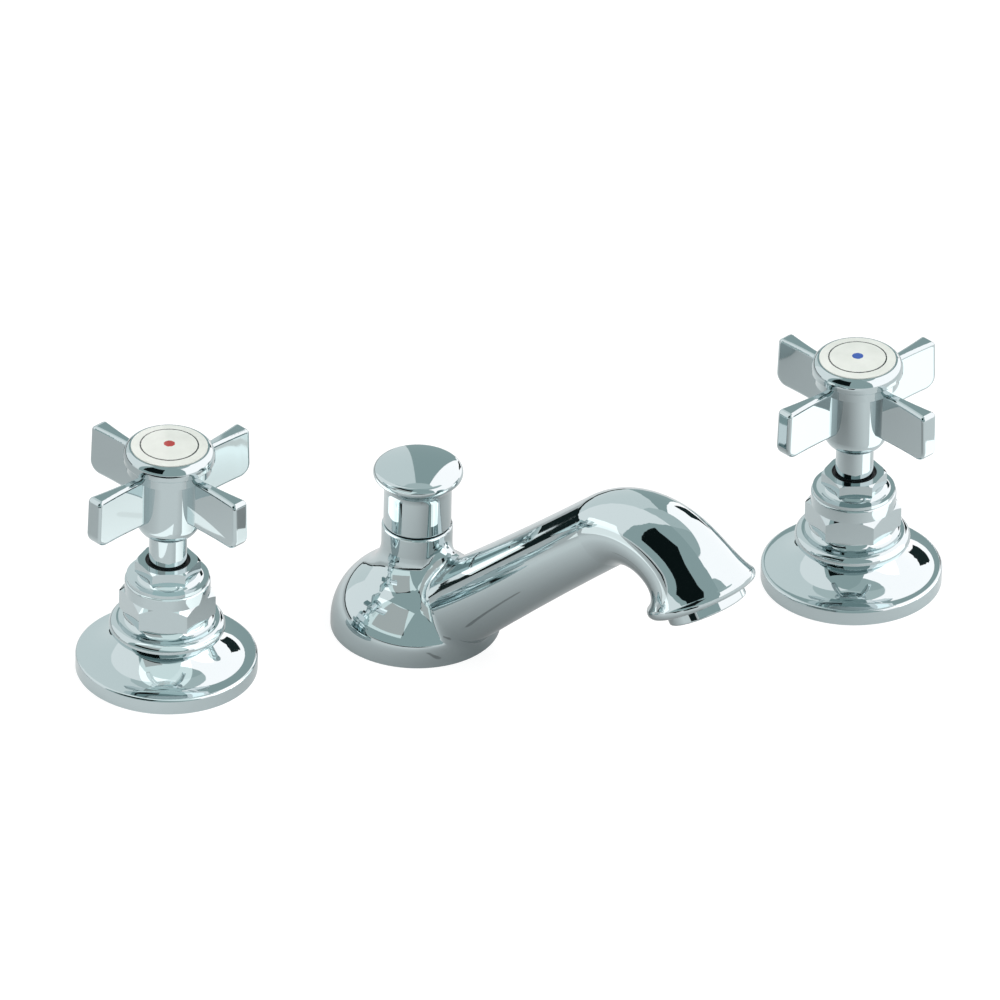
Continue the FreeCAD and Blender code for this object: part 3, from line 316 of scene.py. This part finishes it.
def dress_nodes():
    finishes = {
        "polished_chrome": chrome_material(),
        "seal_rubber": rubber_material(),
        "disc_ceramic": ceramic_material(),
        "raw_brass": brass_material(),
        "stainless": steel_material(),
        "aerator_plastic": plastic_material(),
    }
    indexes = {f"{side}_index_disc": porcelain_material(side) for side in SIDES}
    for entry in frame["record"]["subparts"]:
        node = entry["node"]
        materials = NODES[node].data.materials
        materials.clear()
        materials.append(indexes.get(node) or finishes[entry["material_slot"]])


# Deck: white for the camera. Shiny surfaces see it grey, with painted shade round the spout and at the
# left end, and one painted thin dark line.

RIGHT = direction(CAMERA_AZIMUTH + 90, 0)
AHEAD = direction(CAMERA_AZIMUTH, 0)
FLOOR_HALF = 0.9
FLOOR_COLOUR = (0.30, 0.30, 0.30)
FLOOR_GLOW = 0.80
FLOOR_MIRRORED = 0.57
FLOOR_SHADED = 0.08
SPOUT_SHADE = 0.11
SPOUT_AZIMUTH = 36.0
SPOUT_REACH = (0.03, 0.10)
LEFT_END = (-0.19, -0.12)
LEFT_END_SHADE = 0.55
# A painted dark line on the deck, seen only in reflections, standing in for a dark line reflected in
# the chrome
PAINTED_LINE_RIGHT = 0.011
PAINTED_LINE_AHEAD = (0.031, 0.049)
PAINTED_LINE_HALF = 0.0014


def on_deck(right, ahead):
    """A point of the deck, to the right of the origin and towards the camera from it."""
    return RIGHT * right + AHEAD * ahead


def mirrored_level(n):
    """How bright the deck looks in a shiny surface: grey, with painted shade round the spout and at the
    left end, and a painted dark line.
    """
    spout = [direction(SPOUT_AZIMUTH, 0) * reach for reach in SPOUT_REACH]
    painted_line = [on_deck(PAINTED_LINE_RIGHT, ahead) for ahead in PAINTED_LINE_AHEAD]
    # Painted shade round the spout, seen only in reflections: darker near the spout's line
    painted_spout_shade = n.ramp(n.from_line(*spout), (FLOOR_SHADED, FLOOR_MIRRORED), (0.0, SPOUT_SHADE))
    across = n.vector_math("DOT_PRODUCT", n.place(), RIGHT)["Value"]
    # Painted shade towards the left end, seen only in reflections
    left_end = n.ramp(across, (LEFT_END_SHADE, 1.0), LEFT_END)
    # Painted dark line: the deck shows black in reflections within this distance of the line
    off_painted_line = n.math("GREATER_THAN", n.from_line(*painted_line), PAINTED_LINE_HALF)
    return n.math("MULTIPLY", n.math("MULTIPLY", painted_spout_shade, left_end), off_painted_line)


def floor_material():
    """Clear from below, so that the pieces under the deck show in a view from there."""
    n = Nodes("deck_floor")
    lit = n.add("ShaderNodeBsdfDiffuse")
    lit.inputs["Color"].default_value = (*FLOOR_COLOUR, 1)
    seen = n.add("ShaderNodeLightPath").outputs
    mirrored = n.math("MAXIMUM", seen["Is Glossy Ray"], seen["Is Transmission Ray"])
    for_camera = n.math("MULTIPLY", seen["Is Camera Ray"], FLOOR_GLOW)
    for_mirrors = n.math("MULTIPLY", mirrored, mirrored_level(n))
    glow = n.add("ShaderNodeEmission")
    n.link(n.math("ADD", for_camera, for_mirrors), glow.inputs["Strength"])
    both = n.add("ShaderNodeAddShader")
    n.link(lit.outputs["BSDF"], both.inputs[0])
    n.link(glow.outputs["Emission"], both.inputs[1])
    clear = n.add("ShaderNodeBsdfTransparent")
    two_sided = n.add("ShaderNodeMixShader")
    n.link(n.add("ShaderNodeNewGeometry").outputs["Backfacing"], two_sided.inputs["Fac"])
    n.link(both.outputs["Shader"], two_sided.inputs[1])
    n.link(clear.outputs["BSDF"], two_sided.inputs[2])
    return n.surface(two_sided.outputs["Shader"])


def add_floor():
    h = FLOOR_HALF
    mesh = bpy.data.meshes.new("deck_floor")
    mesh.from_pydata([(-h, -h, 0), (h, -h, 0), (h, h, 0), (-h, h, 0)], [], [(0, 1, 2, 3)])
    mesh.materials.append(floor_material())
    floor = bpy.data.objects.new("deck_floor", mesh)
    SCENE.collection.objects.link(floor)


# Panels that only shiny surfaces show: a far tent of white and grey ones, black flags, and a black card

PANEL_RED = 0.97
PANEL_RED_POWER = 0.27
PANEL_RED_FLOOR = 0.12
PANEL_STEPS = 24
TENT_FAR = 3.0
FLAG_FAR = 2.9
FOOT = -2.0
REAR_FOOT = 1.0
SHOULDER = 62
TOP = 90

# Name, brightness, first and last turn, lowest and highest elevation, distance
TENT_PANELS = (
    ("tent_front", 0.52, (-75, 40), (FOOT, TOP), TENT_FAR),
    ("tent_right", 1.60, (40, 166), (FOOT, SHOULDER), TENT_FAR),
    ("tent_right_high", 0.60, (40, 115), (SHOULDER, TOP), TENT_FAR),
    ("tent_right_back", 0.50, (166, 184), (FOOT, SHOULDER), TENT_FAR),
    ("tent_left_back", 0.95, (184, 230), (REAR_FOOT, SHOULDER), TENT_FAR),
    ("tent_back_high", 0.72, (115, 230), (SHOULDER, TOP), TENT_FAR),
    ("tent_left", 1.15, (230, 285), (REAR_FOOT, TOP), TENT_FAR),
    ("horizon", 0.02, (184, 265), (-4.5, REAR_FOOT), FLAG_FAR),
    ("flag_front", 0.01, (-64, -16), (16, 60), FLAG_FAR),
    ("flag_right", 0.03, (150, 162), (5, 27), FLAG_FAR),
)
DARK_CARD_LEVEL = 0.015
DARK_CARD_RIGHT = (-0.50, 0.10)
DARK_CARD_AHEAD = (0.225, 0.60)
DARK_CARD_Z = 0.5 * MM


def panel_material(name, level):
    """Glows; the dimmer the panel, the cooler its light."""
    n = Nodes(name)
    glow = n.add("ShaderNodeEmission")
    red = PANEL_RED * max(level, PANEL_RED_FLOOR) ** PANEL_RED_POWER
    glow.inputs["Color"].default_value = (red, 1, 1, 1)
    glow.inputs["Strength"].default_value = level
    return n.surface(glow.outputs["Emission"])


def add_panel(name, level, verts, faces):
    mesh = bpy.data.meshes.new(name)
    mesh.from_pydata(verts, [], faces)
    mesh.materials.append(panel_material(name, level))
    panel = bpy.data.objects.new(name, mesh)
    SCENE.collection.objects.link(panel)
    panel.visible_camera = False
    panel.visible_diffuse = False
    panel.visible_shadow = False


def add_tent_panel(name, level, turns, elevations, distance):
    """Part of the sphere round the set; a turn of 0 is towards the camera, and + is to its right."""
    steps = PANEL_STEPS
    row = steps + 1
    verts, faces = [], []
    for i in range(row):
        turn = turns[0] + (turns[1] - turns[0]) * i / steps
        for j in range(row):
            elevation = elevations[0] + (elevations[1] - elevations[0]) * j / steps
            verts.append(TARGET + direction(CAMERA_AZIMUTH + turn, elevation) * distance)
    for i in range(steps):
        for j in range(steps):
            a = i * row + j
            faces.append((a, a + 1, a + row + 1, a + row))
    add_panel(name, level, verts, faces)


def add_dark_card():
    """Lies on the deck in front of the picture's lower edge, for the dark bands in the chrome."""
    lift = UP * DARK_CARD_Z
    verts = [on_deck(u, v) + lift for u in DARK_CARD_RIGHT for v in DARK_CARD_AHEAD]
    add_panel("dark_card", DARK_CARD_LEVEL, verts, [(0, 1, 3, 2)])


# Light: a white world, two large soft lamps, and small ones that only shiny surfaces show

WORLD_LIGHT = 0.75
LAMP_DISTANCE = 1.6
LAMP_SIZE = 0.9
WHITE_LAMP_POWER = 4
GLINT_COLOUR = (1.0, 0.99, 0.97)
VALVE_GLINT = dict(turn=75, distance=0.050, height=0.026, size=(0.055, 0.050), light=0.75)
KNOB_GLINT = dict(distance=0.020, height=0.043, light=1.0)
DOME_GLINT = dict(turn=-41, elevation=37, distance=0.095, size=(0.088, 0.076), light=0.5)


def add_world():
    """White for the camera and in mirrors, and a little dimmer as light."""
    world = bpy.data.worlds.new("studio")
    SCENE.world = world
    world.use_nodes = True
    tree = world.node_tree
    background = tree.nodes["Background"]
    background.inputs["Color"].default_value = (1, 1, 1, 1)
    path = tree.nodes.new("ShaderNodeLightPath")
    seen = path.outputs["Is Camera Ray"]
    for extra in ("Is Glossy Ray", "Is Transmission Ray"):
        join = tree.nodes.new("ShaderNodeMath")
        join.operation = "MAXIMUM"
        tree.links.new(seen, join.inputs[0])
        tree.links.new(path.outputs[extra], join.inputs[1])
        seen = join.outputs["Value"]
    level = tree.nodes.new("ShaderNodeMapRange")
    level.inputs["To Min"].default_value = WORLD_LIGHT
    level.inputs["To Max"].default_value = 1.0
    tree.links.new(seen, level.inputs["Value"])
    tree.links.new(level.outputs["Result"], background.inputs["Strength"])


def area_lamp(name, place, away, size, power):
    """A lamp at a place, facing against the direction away."""
    data = bpy.data.lights.new(name, "AREA")
    data.shape = "RECTANGLE"
    data.size, data.size_y = size
    data.energy = power
    lamp = bpy.data.objects.new(name, data)
    SCENE.collection.objects.link(lamp)
    lamp.location = place
    lamp.rotation_mode = "QUATERNION"
    lamp.rotation_quaternion = (-away).to_track_quat("-Z", "Y")
    return lamp


def add_lamp(name, azimuth, elevation, power):
    """A large soft lamp that no mirror shows."""
    away = direction(azimuth, elevation)
    place = TARGET + away * LAMP_DISTANCE
    lamp = area_lamp(name, place, away, (LAMP_SIZE, LAMP_SIZE), power)
    lamp.visible_glossy = False


def add_glint(name, node, turn, distance, size, light, elevation=0, height=0):
    """A small lamp for the chrome, aimed at a round node's axis; light is how bright it looks there."""
    away = direction(CAMERA_AZIMUTH + turn, elevation)
    place = axis_of(node) + away * distance + UP * height
    lamp = area_lamp(name, place, away, size, WHITE_LAMP_POWER * size[0] * size[1] * light)
    lamp.data.color = GLINT_COLOUR
    lamp.visible_camera = False
    lamp.visible_diffuse = False


def add_glints():
    for side in SIDES:
        add_glint(f"{side}_right", f"{side}_escutcheon", **VALVE_GLINT)
    add_glint("knob_left", "waste_knob", turn=-72, size=(0.015, 0.018), **KNOB_GLINT)
    add_glint("knob_right", "waste_knob", turn=46, size=(0.007, 0.018), **KNOB_GLINT)
    add_glint("dome_front", "waste_knob", **DOME_GLINT)


def add_studio():
    add_floor()
    add_world()
    for panel in TENT_PANELS:
        add_tent_panel(*panel)
    add_dark_card()
    add_glints()
    add_lamp("key", azimuth=55, elevation=55, power=9)
    add_lamp("fill", azimuth=-75, elevation=50, power=4)


add_camera()
dress_nodes()
add_studio()

SCENE.view_settings.view_transform = "Standard"
